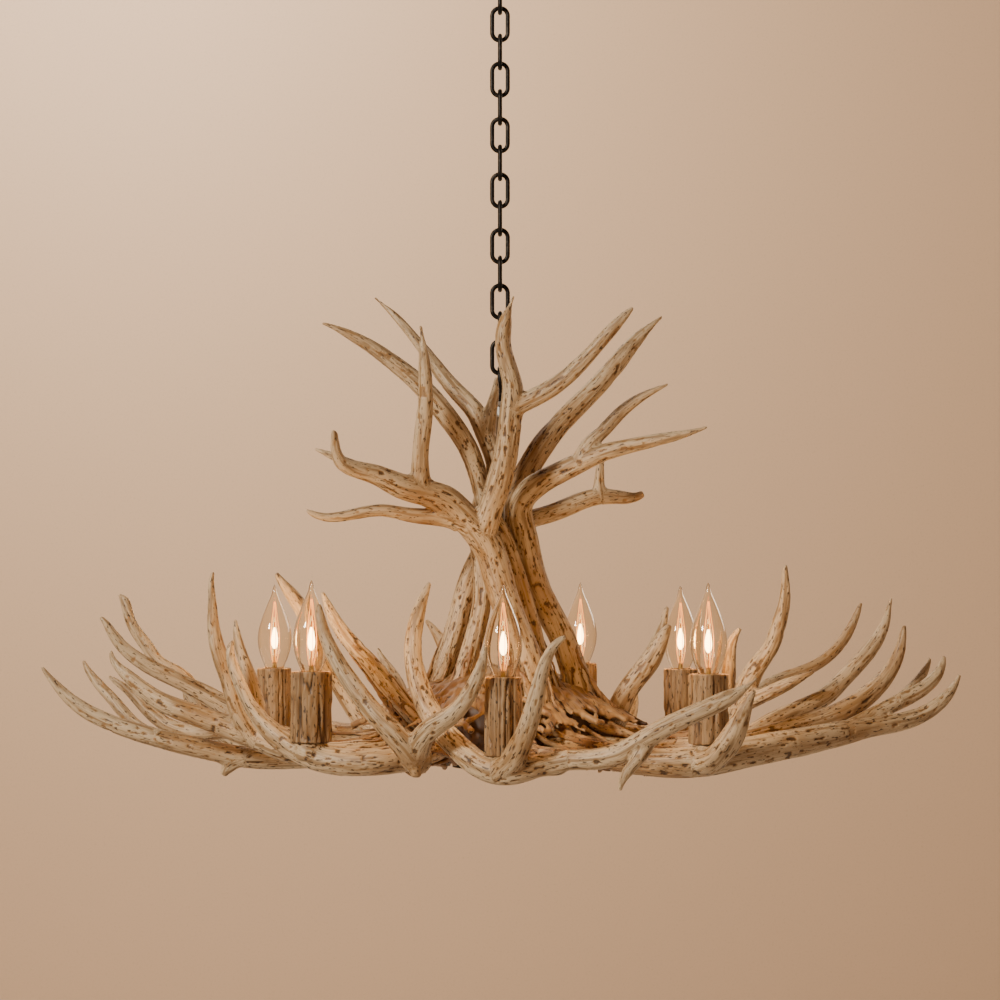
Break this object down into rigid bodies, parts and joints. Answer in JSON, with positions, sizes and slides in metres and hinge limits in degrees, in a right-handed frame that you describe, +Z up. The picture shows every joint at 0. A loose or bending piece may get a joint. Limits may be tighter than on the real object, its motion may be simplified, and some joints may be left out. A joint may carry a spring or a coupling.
{
  "type": "antler chandelier",
  "caption": "Chandelier of cast antlers on a bark-like hub, with candle lamps in bark sleeves, hung from a ceiling canopy by an oval-link chain.",
  "frame": {"origin": "centre of the crossbar in the ceiling plane, on the chain axis", "axes": "+Z up, front of the fixture toward -Y, +X to the right seen from the front"},
  "size_m": [0.9052, 0.6022, 0.879],
  "materials": {
    "antler": "cast resin, cream with tan streaks and dark pits",
    "hub_bark": "cast resin, rough bark and roots",
    "sleeve_bark": "cast resin, bark ridges",
    "clear_glass": "clear",
    "lamp_brass": "plain",
    "socket_shell": "moulded",
    "plated_steel": "zinc plated",
    "black_metal": "blackened, slightly glossy"
  },
  "bodies": {
    "ceiling": {"crossbar": "plated_steel", "threaded_nipple": "plated_steel", "nipple_locknut": "plated_steel", "canopy": "black_metal", "canopy_loop": "black_metal", "collar_ring": "black_metal"},
    "link_01": {"link_01": "black_metal"},
    "link_14": {"link_14": "black_metal"},
    "fixture": {"antler_screws": "plated_steel", "candle_sleeves": "sleeve_bark", "crown_front": "antler", "crown_left": "antler", "crown_rear": "antler", "crown_right": "antler", "crown_right_rear": "antler", "finial": "black_metal", "fixture_loop": "black_metal", "hub": "hub_bark", "hub_cover": "black_metal", "lamp_sockets": "socket_shell", "ring_back": "antler", "ring_back_left": "antler", "ring_front": "antler", "ring_front_left": "antler", "ring_front_right": "antler", "ring_left": "antler", "ring_left_back": "antler", "ring_left_inner": "antler", "ring_left_low": "antler", "ring_left_mid": "antler", "ring_right": "antler", "ring_right_back": "antler", "ring_right_mid": "antler", "socket_nipples": "plated_steel", "stem_nuts": "plated_steel", "stem_rod": "plated_steel"},
    "bulb_1": {"bulb_1_glass": "clear_glass", "bulb_1_base": "lamp_brass"},
    "bulb_2": {"bulb_2_glass": "clear_glass", "bulb_2_base": "lamp_brass"},
    "bulb_3": {"bulb_3_glass": "clear_glass", "bulb_3_base": "lamp_brass"},
    "bulb_4": {"bulb_4_glass": "clear_glass", "bulb_4_base": "lamp_brass"},
    "bulb_5": {"bulb_5_glass": "clear_glass", "bulb_5_base": "lamp_brass"},
    "bulb_6": {"bulb_6_glass": "clear_glass", "bulb_6_base": "lamp_brass"},
    "chain": {"link_02": "black_metal", "link_03": "black_metal", "link_04": "black_metal", "link_05": "black_metal", "link_06": "black_metal", "link_07": "black_metal", "link_08": "black_metal", "link_09": "black_metal", "link_10": "black_metal", "link_11": "black_metal", "link_12": "black_metal", "link_13": "black_metal"}
  },
  "joints": [
    {"name": "chain_top_swing_x", "type": "hinge", "parent": "ceiling", "child": "link_01", "pos_m": [0, 0, -0.0782], "axis": [1, 0, 0], "range_deg": [-35, 35]},
    {"name": "chain_top_swing_y", "type": "hinge", "parent": "link_01", "child": "chain", "pos_m": [0, 0, -0.1057], "axis": [0, 1, 0], "range_deg": [-35, 35]},
    {"name": "chain_low_swing_y", "type": "hinge", "parent": "chain", "child": "link_14", "pos_m": [0, 0, -0.4405], "axis": [0, -1, 0], "range_deg": [-15, 15]},
    {"name": "chain_low_swing_x", "type": "hinge", "parent": "link_14", "child": "fixture", "pos_m": [0, 0, -0.4684], "axis": [-1, 0, 0], "range_deg": [-12, 12]},
    {"name": "bulb_1_unscrew", "type": "slide", "parent": "fixture", "child": "bulb_1", "axis": [0, 0, 1], "range_m": [0, 0.03]},
    {"name": "bulb_2_unscrew", "type": "slide", "parent": "fixture", "child": "bulb_2", "axis": [0, 0, 1], "range_m": [0, 0.03]},
    {"name": "bulb_3_unscrew", "type": "slide", "parent": "fixture", "child": "bulb_3", "axis": [0, 0, 1], "range_m": [0, 0.03]},
    {"name": "bulb_4_unscrew", "type": "slide", "parent": "fixture", "child": "bulb_4", "axis": [0, 0, 1], "range_m": [0, 0.03]},
    {"name": "bulb_5_unscrew", "type": "slide", "parent": "fixture", "child": "bulb_5", "axis": [0, 0, 1], "range_m": [0, 0.03]},
    {"name": "bulb_6_unscrew", "type": "slide", "parent": "fixture", "child": "bulb_6", "axis": [0, 0, 1], "range_m": [0, 0.03]}
  ]
}
